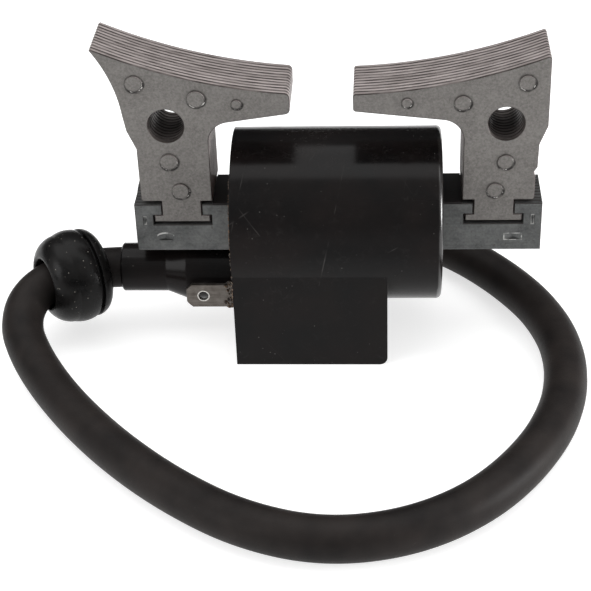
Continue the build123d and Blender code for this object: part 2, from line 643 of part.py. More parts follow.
# ---------------------------------------------------------------- potting resin
with BuildPart() as potting_resin:
    with BuildSketch(Plane.YZ.offset(RESIN_FACE_X)):
        with Locations((0, HOUSING_AXIS_Z)):
            Circle(INNER_RADIUS - SLIP)
    extrude(amount=CAVITY_END_X - SLIP - RESIN_FACE_X)
    with BuildSketch(Plane.XY.offset(CAVITY_FLOOR_Z + SLIP)):
        resin_length = cavity_length - SLIP - (RESIN_FACE_X - HOUSING_OPEN_X)
        with Locations((BLOCK_RIGHT_X - HOUSING_WALL - SLIP - resin_length / 2, 0)):
            Rectangle(resin_length, 2 * (BLOCK_HALF_DEPTH - HOUSING_WALL - SLIP))
    extrude(amount=HOUSING_AXIS_Z - CAVITY_FLOOR_Z - SLIP)
    with BuildSketch(Plane.YZ.offset(PRIMARY_LEFT_X - SLIP)):
        with Locations((0, CORE_MID_Z)):
            Circle(SECONDARY_FLANGE + SLIP)
    extrude(amount=SECONDARY_LENGTH + 2 * SLIP, mode=Mode.SUBTRACT)
    with BuildSketch(Plane.YZ.offset(RESIN_FACE_X)):
        with Locations((0, CORE_MID_Z)):
            Rectangle(BOBBIN_WIDTH + 2 * SLIP, BOBBIN_HEIGHT + 2 * SLIP)
    extrude(amount=HOUSING_CLOSED_X - RESIN_FACE_X, mode=Mode.SUBTRACT)
    for axial_radius, axial_start, axial_end in (
        (TOWER_INNER_RADIUS + SLIP, RESIN_FACE_X, TOWER_INNER_END_X + SLIP),
        (2.0, TOWER_INNER_END_X, PRIMARY_LEFT_X),
    ):
        with BuildSketch(Plane.YZ.offset(axial_start)):
            with Locations((0, BOSS_AXIS_Z)):
                Circle(axial_radius)
        extrude(amount=axial_end - axial_start, mode=Mode.SUBTRACT)
    for buried in (spade_terminal, circuit_board, switching_transistor, film_capacitor):
        add(buried.part, mode=Mode.SUBTRACT)
    for buried in (clamp_diode, earth_wire):
        add(buried.part, mode=Mode.SUBTRACT)
    for buried_solid in transistor_legs + resistor_bodies + wire_runs:
        add(buried_solid, mode=Mode.SUBTRACT)

save(potting_resin.part, "potting_resin")

# ---------------------------------------------------------------- high-tension lead
# Out of the tower, through the grommet, down to the surface, round the front in one open loop
# and up into the plug cap behind the coil.
LEAD_ROUTE = (
    (BOSS_SOCKET_X, 0.0, BOSS_AXIS_Z),
    (-42.5, 0.0, BOSS_AXIS_Z),
    (-48.4, -1.2, -32.9),
    (-53.6, -3.4, -33.1),
    (-58.6, -7.2, -35.2),
    (-59.4, -13.2, -38.0),
    (-56.3, -20.0, -39.8),
    (-51.5, -27.8, -40.9),
    (-45.0, -37.0, LEAD_LYING_Z),
    (-36.5, -47.0, LEAD_LYING_Z),
    (-26.5, -56.4, LEAD_LYING_Z),
    (-14.8, -64.6, LEAD_LYING_Z),
    (-1.5, -68.8, LEAD_LYING_Z),
    (12.0, -66.7, LEAD_LYING_Z),
    (24.0, -59.4, LEAD_LYING_Z),
    (33.8, -47.2, LEAD_LYING_Z),
    (40.0, -33.0, LEAD_LYING_Z),
    (41.6, -18.0, LEAD_LYING_Z),
    (38.8, -4.4, LEAD_LYING_Z),
    (32.4, 7.6, LEAD_LYING_Z),
    (23.2, 18.8, LEAD_LYING_Z),
    (10.5, 26.4, -40.1),
    (-3.5, CAP_AXIS_Y, CAP_AXIS_Z),
    (LEAD_END_X, CAP_AXIS_Y, CAP_AXIS_Z),
)
ARC_SHARE = 0.45  # part of the shorter run that each tangent arc takes up


def bend_radii(route):
    """One radius for each corner of the route, as large as its two runs allow."""
    radii = []
    for before, corner, after in zip(route, route[1:], route[2:]):
        run_in = Vector(*corner) - Vector(*before)
        run_out = Vector(*after) - Vector(*corner)
        half_turn = math.radians(run_in.get_angle(run_out)) / 2
        shorter = min(run_in.length, run_out.length)
        radii.append(ARC_SHARE * shorter / math.tan(half_turn))
    return radii


LEAD_RADII = bend_radii(LEAD_ROUTE)
print("lead bend radii (mm):", [round(radius, 1) for radius in LEAD_RADII])

with BuildPart() as ht_lead:
    with BuildLine() as lead_path:
        FilletPolyline(*LEAD_ROUTE, radius=LEAD_RADII)
    with BuildSketch(Plane(origin=lead_path.line @ 0, z_dir=lead_path.line % 0)):
        Circle(LEAD_RADIUS)
        Circle(LEAD_BORE_DIA / 2, mode=Mode.SUBTRACT)
    sweep(path=lead_path.line)

save(ht_lead.part, "ht_lead")
lead_section = math.pi * (LEAD_RADIUS**2 - (LEAD_BORE_DIA / 2) ** 2)
lead_length = lead_path.wire().length
print("lead length (mm):", round(lead_length, 1))
print("lead volume over section times length:", round(ht_lead.part.volume / (lead_section * lead_length), 4))

# The stranded conductor stops short of the two contacts that enter the ends of the lead.
CONDUCTOR_START = (BOSS_SOCKET_X - 2.7, 0.0, BOSS_AXIS_Z)
CONDUCTOR_END = (LEAD_END_X + 3.0, CAP_AXIS_Y, CAP_AXIS_Z)
CONDUCTOR_ROUTE = (CONDUCTOR_START, *LEAD_ROUTE[1:-1], CONDUCTOR_END)

with BuildPart() as lead_conductor:
    with BuildLine() as conductor_path:
        FilletPolyline(*CONDUCTOR_ROUTE, radius=LEAD_RADII)
    with BuildSketch(Plane(origin=conductor_path.line @ 0, z_dir=conductor_path.line % 0)):
        Circle(CONDUCTOR_DIA / 2)
    sweep(path=conductor_path.line)

save(lead_conductor.part, "lead_conductor")

# ---------------------------------------------------------------- grommet on the lead
# It sits askew on the bend, so its axis is turned out of the lead's own line.
GROMMET_GROOVE = Vector(-48.5, -1.8, -33.2)
GROMMET_AXIS = Vector(-0.832, -0.548, 0.05).normalized()
GROMMET_SIDE = GROMMET_AXIS.cross(Vector(0, 0, 1)).normalized()
GROMMET_RADIUS = 8.85
GROOVE_RADIUS = 7.5
FLANGE_BACK = -2.9
MOUTH_LIP = 8.3
MOUTH_FLOOR = 6.6  # the recess round the lead is this far from the groove

with BuildPart() as lead_grommet:
    with BuildSketch(Plane(origin=GROMMET_GROOVE, x_dir=GROMMET_AXIS, z_dir=GROMMET_SIDE)):
        with BuildLine():
            Polyline((MOUTH_FLOOR, 4.6), (MOUTH_FLOOR, 0), (FLANGE_BACK, 0), (FLANGE_BACK, 5.6))
            ThreePointArc((FLANGE_BACK, 5.6), (-2.1, 7.75), (-0.45, 8.5))
            Polyline((-0.45, 8.5), (-0.3, GROOVE_RADIUS), (0.3, GROOVE_RADIUS), (0.45, 8.6))
            ThreePointArc((0.45, 8.6), (2.4, GROMMET_RADIUS), (4.4, 8.4))
            ThreePointArc((4.4, 8.4), (7.2, 7.1), (MOUTH_LIP, 5.4))
            ThreePointArc((MOUTH_LIP, 5.4), (MOUTH_LIP - 0.12, 4.9), (MOUTH_LIP - 0.6, 4.7))
            Line((MOUTH_LIP - 0.6, 4.7), (MOUTH_FLOOR, 4.6))
        make_face()
    revolve(axis=Axis(GROMMET_GROOVE, GROMMET_AXIS))
    with BuildSketch(Plane(origin=lead_path.line @ 0, z_dir=lead_path.line % 0)) as grommet_bore:
        Circle(LEAD_RADIUS + SLIP)
    sweep(sections=grommet_bore.sketch, path=lead_path.line, mode=Mode.SUBTRACT)

save(lead_grommet.part, "lead_grommet")

# ---------------------------------------------------------------- spark-plug cap
CHAMBER_START_X = LEAD_END_X - 1.5
CHAMBER_END_X = LEAD_END_X - 10.5
CHAMBER_RADIUS = 4.8
CAP_AXIS = Axis((0, CAP_AXIS_Y, CAP_AXIS_Z), (1, 0, 0))
CAP_PLANE = Plane(origin=(0, CAP_AXIS_Y, CAP_AXIS_Z), x_dir=(1, 0, 0), z_dir=(0, -1, 0))

with BuildPart() as plug_cap_boot:
    with BuildSketch(CAP_PLANE):
        with BuildLine():
            Polyline(
                (CAP_TAIL_X, LEAD_RADIUS + LEAD_FIT),
                (CAP_TAIL_X, 5.0),
                (CAP_TAIL_X - 0.6, 5.4),
                (CAP_TAIL_X - 5.6, 5.7),
                (CAP_TAIL_X - 9.0, CAP_RADIUS),
                (CAP_TAIL_X - 12.0, CAP_RADIUS),
                (CAP_TAIL_X - 12.4, CAP_RADIUS - 0.5),
                (CAP_TAIL_X - 13.4, CAP_RADIUS - 0.5),
                (CAP_TAIL_X - 13.8, CAP_RADIUS),
                (CAP_MOUTH_X + 4.6, CAP_RADIUS - 0.3),
                (CAP_MOUTH_X + 3.8, CAP_RADIUS),
                (CAP_MOUTH_X + 0.5, CAP_RADIUS),
                (CAP_MOUTH_X, CAP_RADIUS - 0.5),
                (CAP_MOUTH_X, PLUG_BORE_DIA / 2),
                (CHAMBER_END_X, PLUG_BORE_DIA / 2),
                (CHAMBER_END_X, CHAMBER_RADIUS),
                (CHAMBER_START_X, CHAMBER_RADIUS),
                (CHAMBER_START_X, LEAD_RADIUS + LEAD_FIT),
                close=True,
            )
        make_face()
    revolve(axis=CAP_AXIS)

save(plug_cap_boot.part, "plug_cap_boot")

# Contact: a spike into the conductor end, a disc across the lead and a seat for the spring.
with BuildPart() as plug_cap_contact:
    with BuildSketch(CAP_PLANE):
        with BuildLine():
            Polyline(
                (LEAD_END_X + 2.8, 0),
                (LEAD_END_X + 2.8, 0.15),
                (LEAD_END_X + 1.9, SPIKE_DIA / 2),
                (LEAD_END_X - 0.05, SPIKE_DIA / 2),
                (LEAD_END_X - 0.05, LEAD_RADIUS - 0.1),
                (LEAD_END_X - 1.4, LEAD_RADIUS - 0.1),
                (LEAD_END_X - 1.4, 1.6),
                (LEAD_END_X - 2.4, 1.6),
                (LEAD_END_X - 2.4, 0),
                close=True,
            )
        make_face()
    revolve(axis=CAP_AXIS)

save(plug_cap_contact.part, "plug_cap_contact")

SPRING_WIRE_RADIUS = 0.5
SPRING_RADIUS = 2.6
SPRING_PITCH = 1.8
SPRING_TURNS = 4
SPRING_CENTRE = (LEAD_END_X - 1.4 - SPRING_WIRE_RADIUS - 0.05, CAP_AXIS_Y, CAP_AXIS_Z)
with BuildPart() as plug_cap_spring:
    with BuildLine() as spring_path:
        Helix(
            pitch=SPRING_PITCH,
            height=SPRING_TURNS * SPRING_PITCH,
            radius=SPRING_RADIUS,
            center=SPRING_CENTRE,
            direction=(-1, 0, 0),
        )
    with BuildSketch(Plane(origin=spring_path.line @ 0, z_dir=spring_path.line % 0)):
        Circle(SPRING_WIRE_RADIUS)
    sweep(path=spring_path.line, is_frenet=True)

save(plug_cap_spring.part, "plug_cap_spring")
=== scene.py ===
"""Looks, lighting and camera for the ignition coil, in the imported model's own frame, in metres."""

import math

import bmesh
import bpy
from mathutils import Matrix, Vector


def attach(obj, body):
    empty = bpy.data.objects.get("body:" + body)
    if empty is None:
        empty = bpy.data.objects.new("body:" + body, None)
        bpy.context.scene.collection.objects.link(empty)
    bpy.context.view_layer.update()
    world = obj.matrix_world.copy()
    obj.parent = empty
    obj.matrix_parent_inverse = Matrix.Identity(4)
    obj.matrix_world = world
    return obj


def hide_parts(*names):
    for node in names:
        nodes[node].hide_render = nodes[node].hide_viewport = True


MM = 0.001
BODY = "root"
FLOOR_Z = -45.0 * MM
COAT_ROUGHNESS = 0.1

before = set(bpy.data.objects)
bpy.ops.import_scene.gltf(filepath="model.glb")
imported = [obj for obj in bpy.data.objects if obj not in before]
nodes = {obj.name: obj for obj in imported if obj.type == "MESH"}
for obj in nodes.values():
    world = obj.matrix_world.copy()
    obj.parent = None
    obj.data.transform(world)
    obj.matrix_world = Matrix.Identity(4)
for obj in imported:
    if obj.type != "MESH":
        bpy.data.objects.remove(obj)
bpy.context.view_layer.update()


# ---------------------------------------------------------------- material helpers
class Shader:
    """A node tree with one Principled shader, and short ways to add to it."""

    def __init__(self, name, color, roughness, metallic=0.0, specular=0.5, coat=0.0):
        self.material = bpy.data.materials.new(name)
        self.material.use_nodes = True
        self.tree = self.material.node_tree
        self.bsdf = self.tree.nodes["Principled BSDF"]
        self.bsdf.inputs["Base Color"].default_value = (*color, 1.0)
        self.bsdf.inputs["Roughness"].default_value = roughness
        self.bsdf.inputs["Metallic"].default_value = metallic
        self.bsdf.inputs["Specular IOR Level"].default_value = specular
        self.bsdf.inputs["Coat Weight"].default_value = coat
        self.bsdf.inputs["Coat Roughness"].default_value = COAT_ROUGHNESS
        self.geometry = self.tree.nodes.new("ShaderNodeNewGeometry")
        self.coordinates = self.tree.nodes.new("ShaderNodeTexCoord").outputs["Object"]
        self.normal = None

    def feed(self, socket, value):
        """Link a socket, or set a number or a colour on it."""
        if isinstance(value, bpy.types.NodeSocket):
            self.tree.links.new(value, socket)
        elif isinstance(value, tuple) and len(value) == 3 and socket.type == "RGBA":
            socket.default_value = (*value, 1.0)
        else:
            socket.default_value = value

    def node(self, kind, **settings):
        """A new node with these settings."""
        made = self.tree.nodes.new(kind)
        for key, value in settings.items():
            setattr(made, key, value)
        return made

    def place(self, scale, rotation=(0, 0, 0)):
        """Object coordinates, turned and then multiplied by scale (cells per millimetre)."""
        turn = self.node("ShaderNodeMapping", vector_type="POINT")
        self.feed(turn.inputs["Vector"], self.coordinates)
        turn.inputs["Rotation"].default_value = tuple(math.radians(a) for a in rotation)
        stretch = self.node("ShaderNodeVectorMath", operation="MULTIPLY")
        self.feed(stretch.inputs[0], turn.outputs[0])
        stretch.inputs[1].default_value = tuple(s / MM for s in scale)
        return stretch.outputs[0]

    def noise(self, scale, detail=3.0, rough=0.55, rotation=(0, 0, 0), distortion=0.0):
        """Cloudy noise, with one scale or one for each axis."""
        scale = (scale,) * 3 if isinstance(scale, (int, float)) else scale
        made = self.node("ShaderNodeTexNoise")
        self.feed(made.inputs["Vector"], self.place(scale, rotation))
        made.inputs["Scale"].default_value = 1.0
        made.inputs["Detail"].default_value = detail
        made.inputs["Roughness"].default_value = rough
        made.inputs["Distortion"].default_value = distortion
        return made.outputs["Fac"]

    def cells(self, scale, feature="F1", randomness=1.0):
        """Distance inside Voronoi cells."""
        made = self.node("ShaderNodeTexVoronoi", feature=feature)
        self.feed(made.inputs["Vector"], self.place((scale,) * 3))
        made.inputs["Scale"].default_value = 1.0
        made.inputs["Randomness"].default_value = randomness
        return made.outputs["Distance"]

    def span(self, value, low, high, to_low=0.0, to_high=1.0, smooth=False):
        """Value from low..high carried to to_low..to_high, clamped."""
        kind = "SMOOTHSTEP" if smooth else "LINEAR"
        made = self.node("ShaderNodeMapRange", interpolation_type=kind, clamp=True)
        self.feed(made.inputs["Value"], value)
        made.inputs["From Min"].default_value = low
        made.inputs["From Max"].default_value = high
        made.inputs["To Min"].default_value = to_low
        made.inputs["To Max"].default_value = to_high
        return made.outputs["Result"]

    def math(self, operation, a, b=0.0):
        """One math node on sockets or numbers."""
        made = self.node("ShaderNodeMath", operation=operation)
        self.feed(made.inputs[0], a)
        self.feed(made.inputs[1], b)
        return made.outputs[0]

    def mix(self, factor, a, b):
        """Colour a at factor 0 and colour b at factor 1."""
        made = self.node("ShaderNodeMix", data_type="RGBA")
        self.feed(made.inputs[0], factor)
        self.feed(made.inputs[6], a)
        self.feed(made.inputs[7], b)
        return made.outputs[2]

    def axis(self, vector, index):
        """One component of a vector: 0 for X, 1 for Y, 2 for Z."""
        made = self.node("ShaderNodeSeparateXYZ")
        self.feed(made.inputs[0], vector)
        return made.outputs[index]

    def bump(self, height, strength, distance_mm):
        """Relief from height, laid over whatever relief is there already."""
        made = self.node("ShaderNodeBump")
        made.inputs["Strength"].default_value = strength
        made.inputs["Distance"].default_value = distance_mm * MM
        self.feed(made.inputs["Height"], height)
        if self.normal is not None:
            self.feed(made.inputs["Normal"], self.normal)
        self.normal = made.outputs["Normal"]

    def soften(self, radius_mm):
        """Edges shaded as if rounded to this radius."""
        made = self.node("ShaderNodeBevel", samples=6)
        made.inputs["Radius"].default_value = radius_mm * MM
        self.normal = made.outputs["Normal"]

    def done(self, color, roughness=None):
        """Link the colour, the roughness if given, and the relief, and return the material."""
        self.feed(self.bsdf.inputs["Base Color"], color)
        if roughness is not None:
            self.feed(self.bsdf.inputs["Roughness"], roughness)
        if self.normal is not None:
            self.feed(self.bsdf.inputs["Normal"], self.normal)
        return self.material


def scratch_lines(s, spacing, angles, cut):
    """Thin stretched noise at several angles, 1 on a scratch and 0 off it."""
    total = None
    for index, angle in enumerate(angles):
        field = s.noise((0.02, 0.02, spacing), 2.0, 0.4, (7.0 * index, angle, 3.0 * index))
        line = s.span(field, cut, cut + 0.06)
        total = line if total is None else s.math("MAXIMUM", total, line)
    return total


HALF_STACK = 6.0 * MM
LAM_PITCH = 12.0 / 11 * MM
HOLES_MM = ((-30.0, 0.0), (30.0, 0.0))
HOLE_RADIUS_MM = 3.2
HOLE_SHADE_MM = 0.14  # how far past the hole's edge the painted shade on its wall fades out

# Each interlock as x, z and radius.
INTERLOCKS_MM = (
    (-35.0, 8.3, 1.5),
    (-24.3, 5.3, 1.55),
    (-17.2, 4.2, 0.85),
    (-29.9, -7.1, 1.55),
    (-28.2, -13.1, 1.5),
    (33.3, 7.9, 1.4),
    (22.3, 4.1, 1.4),
    (12.6, 4.2, 0.85),
    (30.1, -7.5, 1.4),
    (28.4, -13.2, 1.4),
)


def off_axis(s, x_mm, z_mm):
    """Distance in millimetres from an axis along Y through (x, z)."""
    shift = s.node("ShaderNodeVectorMath", operation="MULTIPLY_ADD")
    s.feed(shift.inputs[0], s.coordinates)
    shift.inputs[1].default_value = (1 / MM, 0.0, 1 / MM)
    shift.inputs[2].default_value = (-x_mm, 0.0, -z_mm)
    length = s.node("ShaderNodeVectorMath", operation="LENGTH")
    s.feed(length.inputs[0], shift.outputs[0])
    return length.outputs["Value"]


# The lower-right side of each interlock, where its painted shadow and painted glints go.
DOWN_RIGHT_X = 0.35
DOWN_RIGHT_Z = -0.94


def below(s, x_mm, z_mm):
    """Distance in millimetres towards the lower right of an axis along Y through (x, z)."""
    dot = s.node("ShaderNodeVectorMath", operation="DOT_PRODUCT")
    s.feed(dot.inputs[0], s.coordinates)
    dot.inputs[1].default_value = (DOWN_RIGHT_X / MM, 0.0, DOWN_RIGHT_Z / MM)
    return s.math("SUBTRACT", dot.outputs["Value"], DOWN_RIGHT_X * x_mm + DOWN_RIGHT_Z * z_mm)


def lance_highlight(s, x_mm, z_mm, half_x, half_z, arched):
    """1 on the painted highlight of a lance, 0 elsewhere: an arch over it, or its broken outline."""
    across = s.math("SUBTRACT", s.math("DIVIDE", s.axis(s.coordinates, 0), MM), x_mm)
    upright = s.math("SUBTRACT", s.math("DIVIDE", s.axis(s.coordinates, 2), MM), z_mm)
    if arched:
        lift = s.math("SUBTRACT", 1.0, s.math("POWER", s.math("DIVIDE", across, half_x), 2.0))
        arch = s.math("MULTIPLY", lift, 0.55)
        above_foot = s.math("SUBTRACT", upright, half_z - 0.25)
        off_line = s.math("ABSOLUTE", s.math("SUBTRACT", above_foot, arch))
        inside = s.span(lift, 0.0, 0.15)
        return s.math("MULTIPLY", s.span(off_line, 0.24, 0.08), inside)
    dx = s.math("SUBTRACT", s.math("ABSOLUTE", across), half_x)
    dz = s.math("SUBTRACT", s.math("ABSOLUTE", upright), half_z)
    return s.span(s.math("ABSOLUTE", s.math("MAXIMUM", dx, dz)), 0.15, 0.04)


def through_stack(s):
    """Place along Y, counted in laminations from the front of the stack."""
    from_front = s.math("ADD", s.axis(s.coordinates, 1), HALF_STACK)
    return s.math("DIVIDE", from_front, LAM_PITCH)


def seams(s, width):
    """1 in the grooves between laminations and 0 on their edges."""
    phase = s.math("FRACT", through_stack(s))
    to_seam = s.math("SUBTRACT", 0.5, s.math("ABSOLUTE", s.math("SUBTRACT", phase, 0.5)))
    return s.span(to_seam, width, width * 0.35)


def lamination_index(s):
    """A steady pseudo-random number for each lamination, 0 to 1."""
    index = s.math("FLOOR", through_stack(s))
    wave = s.math("SINE", s.math("MULTIPLY", index, 12.99))
    return s.math("FRACT", s.math("MULTIPLY", wave, 43.75))


def lamination_steel():
    """Stamped electrical steel: mottled faces, sheared edges with dark seams between blanks, painted
    shadows and glints round the interlocks, and painted shade inside the holes.
    """
    s = Shader("lamination_steel", (0.2, 0.19, 0.18), 0.45, metallic=0.5, specular=0.4)
    s.soften(0.2)
    facing = s.math("ABSOLUTE", s.axis(s.geometry.outputs["Normal"], 1))
    face = s.span(facing, 0.75, 0.95)
    blotch = s.noise(0.16, 4.0, 0.6, distortion=0.4)
    fine = s.noise(2.6, 3.0, 0.65)
    grain = s.noise((0.25, 0.25, 3.0), 2.0, 0.5, (0, 17, 0))
    tone = s.math("ADD", s.math("MULTIPLY", blotch, 0.28), s.math("MULTIPLY", fine, 0.72))
    face_color = s.mix(s.span(tone, 0.34, 0.66), (0.11, 0.103, 0.097), (0.2, 0.19, 0.18))
    stain = s.span(s.noise(0.35, 4.0, 0.7, distortion=0.8), 0.6, 0.72)
    face_color = s.mix(s.math("MULTIPLY", stain, 0.2), face_color, (0.07, 0.058, 0.048))
    painted_shadow_breakup = s.span(s.noise(0.75, 2.0, 0.5), 0.36, 0.52, 0.4, 1.0)
    painted_glint_breakup = s.span(s.noise(1.5, 2.0, 0.6), 0.54, 0.6)
    # Round each interlock: a painted shadow, heaviest on the lower right and broken up, and painted
    # glints along its lower edge.
    for x_mm, z_mm, radius in INTERLOCKS_MM:
        away = off_axis(s, x_mm, z_mm)
        low = s.span(below(s, x_mm, z_mm), -0.4 * radius, 0.6 * radius)
        ring_width = s.span(low, 0.0, 1.0, 0.15, 0.44)
        off_ring = s.math("ABSOLUTE", s.math("SUBTRACT", away, radius + 0.1))
        ring = s.span(s.math("DIVIDE", off_ring, ring_width), 1.0, 0.45)
        painted_glint = s.span(s.math("ABSOLUTE", s.math("SUBTRACT", away, radius + 0.02)), 0.2, 0.08)
        painted_shadow = s.math("MULTIPLY", ring, painted_shadow_breakup)
        painted_shadow = s.math("MULTIPLY", painted_shadow, s.span(low, 0.0, 1.0, 0.45, 1.0))
        face_color = s.mix(painted_shadow, face_color, (0.014, 0.012, 0.011))
        painted_glint = s.math("MULTIPLY", s.math("MULTIPLY", painted_glint, painted_glint_breakup), low)
        face_color = s.mix(s.math("MULTIPLY", painted_glint, 0.8), face_color, (0.75, 0.73, 0.7))
    streak = s.noise((0.16, 3.2, 0.5), 3.0, 0.6)
    sheet_tone = s.math("MULTIPLY", lamination_index(s), 0.1)
    edge_tone = s.math("ADD", s.math("MULTIPLY", streak, 0.9), sheet_tone)
    edge_color = s.mix(s.span(edge_tone, 0.34, 0.66), (0.26, 0.226, 0.214), (0.64, 0.57, 0.555))
    seam = seams(s, 0.36)
    seam_depth = s.span(s.noise((0.3, 0.9, 0.3), 2.0, 0.5), 0.35, 0.6, 0.72, 0.97)
    edge_color = s.mix(s.math("MULTIPLY", seam, seam_depth), edge_color, (0.02, 0.014, 0.013))
    color = s.mix(face, edge_color, face_color)
    # Painted shade on the walls of the two holes.
    for x_mm, z_mm in HOLES_MM:
        away = off_axis(s, x_mm, z_mm)
        inside = s.span(away, HOLE_RADIUS_MM + HOLE_SHADE_MM, HOLE_RADIUS_MM)
        color = s.mix(s.math("MULTIPLY", inside, 0.7), color, (0.02, 0.016, 0.013))
    rough = s.math("ADD", s.span(fine, 0.3, 0.7, 0.34, 0.5), s.math("MULTIPLY", grain, 0.05))
    s.bump(fine, 0.35, 0.04)
    s.bump(s.math("MULTIPLY", streak, s.math("SUBTRACT", 1.0, face)), 0.4, 0.06)
    return s.done(color, rough)


# Each lance as x, z, half its length along X and along Z, and whether its painted highlight is an
# arch.
LANCES_MM = (
    (-31.7, -22.9, 1.6, 0.65, True),
    (-35.25, -19.3, 0.2, 0.8, False),
    (31.95, -22.9, 1.6, 0.65, False),
    (35.4, -19.3, 0.22, 0.95, False),
)


def core_steel():
    """The core's blanks: cooler, a little smoother, with faint rolling lines along the bar."""
    s = Shader("core_steel", (0.12, 0.125, 0.125), 0.4, metallic=0.5, specular=0.4)
    facing = s.math("ABSOLUTE", s.axis(s.geometry.outputs["Normal"], 1))
    face = s.span(facing, 0.75, 0.95)
    rolling = s.noise((0.05, 1.2, 4.0), 3.0, 0.6)
    blotch = s.noise(0.3, 4.0, 0.6, distortion=0.5)
    fine = s.noise(2.4, 3.0, 0.6)
    tone = s.math("ADD", s.math("MULTIPLY", blotch, 0.5), s.math("MULTIPLY", fine, 0.35))
    tone = s.math("ADD", tone, s.math("MULTIPLY", rolling, 0.15))
    color = s.mix(s.span(tone, 0.36, 0.64), (0.06, 0.062, 0.062), (0.135, 0.138, 0.136))
    speck = s.span(s.noise(1.1, 3.0, 0.7), 0.62, 0.7)
    color = s.mix(s.math("MULTIPLY", speck, 0.5), color, (0.04, 0.03, 0.025))
    on_edges = s.math("SUBTRACT", 0.9, s.math("MULTIPLY", face, 0.9))
    dark_seam = s.math("MULTIPLY", seams(s, 0.2), on_edges)
    color = s.mix(dark_seam, color, (0.02, 0.016, 0.015))
    broken = s.span(s.noise(0.8, 2.0), 0.42, 0.56, 0.1, 0.8)
    # Painted highlights on the lances, broken up here and there.
    for x_mm, z_mm, half_x, half_z, arched in LANCES_MM:
        lance_glint = s.math("MULTIPLY", lance_highlight(s, x_mm, z_mm, half_x, half_z, arched), face)
        color = s.mix(s.math("MULTIPLY", lance_glint, broken), color, (0.6, 0.6, 0.58))
    s.bump(fine, 0.3, 0.04)
    return s.done(color, s.span(blotch, 0.3, 0.7, 0.32, 0.46))


def housing_plastic(name, rim_gloss):
    """Black moulded thermoset: glossy on top, duller in front, with hairline scratches and dust.

    rim_gloss is the specular level of faces that look along X: the rims, and the tower's taper.
    """
    s = Shader(name, (0.006, 0.0057, 0.0058), 0.2, specular=0.13)
    cloud = s.noise(0.1, 3.0, 0.5)
    lines = scratch_lines(s, 2.6, (31, -52, 78), 0.72)
    lines = s.math("MULTIPLY", lines, s.span(s.noise(0.16, 2.0), 0.55, 0.66))
    haze = s.span(s.noise(0.75, 4.0, 0.7, distortion=0.6), 0.54, 0.74)
    haze = s.math("MULTIPLY", haze, s.span(s.noise(0.07, 2.0), 0.4, 0.62))
    dust = s.span(s.cells(0.75), 0.09, 0.05)
    dust = s.math("MULTIPLY", dust, s.span(s.noise(0.3, 2.0), 0.5, 0.62))
    color = s.mix(s.span(cloud, 0.35, 0.65), (0.0036, 0.0033, 0.0034), (0.0072, 0.0053, 0.005))
    color = s.mix(s.math("MULTIPLY", lines, 0.3), color, (0.1, 0.095, 0.09))
    color = s.mix(s.math("MULTIPLY", haze, 0.05), color, (0.2, 0.19, 0.18))
    color = s.mix(s.math("MULTIPLY", dust, 0.3), color, (0.3, 0.29, 0.27))
    lean = s.axis(s.geometry.outputs["Normal"], 2)
    not_up = s.span(lean, 0.45, 0.7, 0.24, 0.0, smooth=True)
    not_down = s.span(lean, -0.75, -0.3, 0.0, 1.0, smooth=True)
    rough = s.math("ADD", s.span(cloud, 0.3, 0.7, 0.15, 0.24), s.math("MULTIPLY", haze, 0.14))
    sideways = s.math("ABSOLUTE", s.axis(s.geometry.outputs["Normal"], 0))
    off_rim = s.span(sideways, 0.1, 0.35, 1.0, 0.0)
    s.feed(s.bsdf.inputs["Specular IOR Level"], s.span(off_rim, 1.0, 0.0, 0.13, rim_gloss))
    duller = s.math("MULTIPLY", s.math("MULTIPLY", not_up, not_down), off_rim)
    rough = s.math("ADD", rough, duller)
    s.soften(0.35)
    s.bump(s.noise(0.28, 2.0, 0.5), 0.1, 0.12)
    s.bump(lines, -0.1, 0.02)
    return s.done(color, rough)


def lead_rubber():
    """Matte black jacket: fine pores, a brownish bloom and a few light scuffs."""
    s = Shader("lead_rubber", (0.011, 0.01, 0.0095), 0.5, specular=0.1)
    pores = s.noise(3.2, 3.0, 0.65)
    bloom = s.noise(0.11, 3.0, 0.6)
    scuff = s.span(s.noise(0.9, 4.0, 0.7, distortion=1.5), 0.66, 0.74)
    color = s.mix(s.span(bloom, 0.35, 0.65), (0.0105, 0.009, 0.0087), (0.0205, 0.017, 0.0157))
    color = s.mix(s.math("MULTIPLY", scuff, 0.22), color, (0.11, 0.1, 0.09))
    s.bump(pores, 0.35, 0.05)
    s.bump(bloom, 0.1, 0.3)
    return s.done(color, s.span(pores, 0.3, 0.7, 0.42, 0.58))


def grommet_rubber():
    """Moulded rubber: smoother than the lead, with pale specks of mould dust."""
    s = Shader("grommet_rubber", (0.0085, 0.0085, 0.0088), 0.3, specular=0.13)
    cloud = s.noise(0.35, 3.0, 0.6)
    speck = s.span(s.cells(1.1), 0.12, 0.06)
    speck = s.math("MULTIPLY", speck, s.span(s.noise(0.5, 2.0), 0.42, 0.52))
    color = s.mix(s.span(cloud, 0.3, 0.7), (0.0035, 0.0034, 0.0035), (0.008, 0.0074, 0.0072))
    color = s.mix(s.math("MULTIPLY", speck, 0.8), color, (0.34, 0.32, 0.28))
    s.soften(0.25)
    s.bump(s.noise(2.4, 3.0, 0.6), 0.2, 0.05)
    return s.done(color, s.span(cloud, 0.3, 0.7, 0.22, 0.38))


def potting_resin():
    """Dark amber casting resin with a rippled meniscus."""
    s = Shader("potting_resin", (0.03, 0.014, 0.006), 0.16, specular=0.5, coat=0.3)
    flow = s.noise(0.22, 3.0, 0.55, distortion=0.8)
    color = s.mix(s.span(flow, 0.35, 0.66), (0.014, 0.0075, 0.004), (0.115, 0.043, 0.012))
    s.bump(flow, 0.5, 0.5)
    s.bump(s.cells(0.9, "SMOOTH_F1"), 0.12, 0.1)
    return s.done(color, s.span(flow, 0.3, 0.7, 0.1, 0.3))


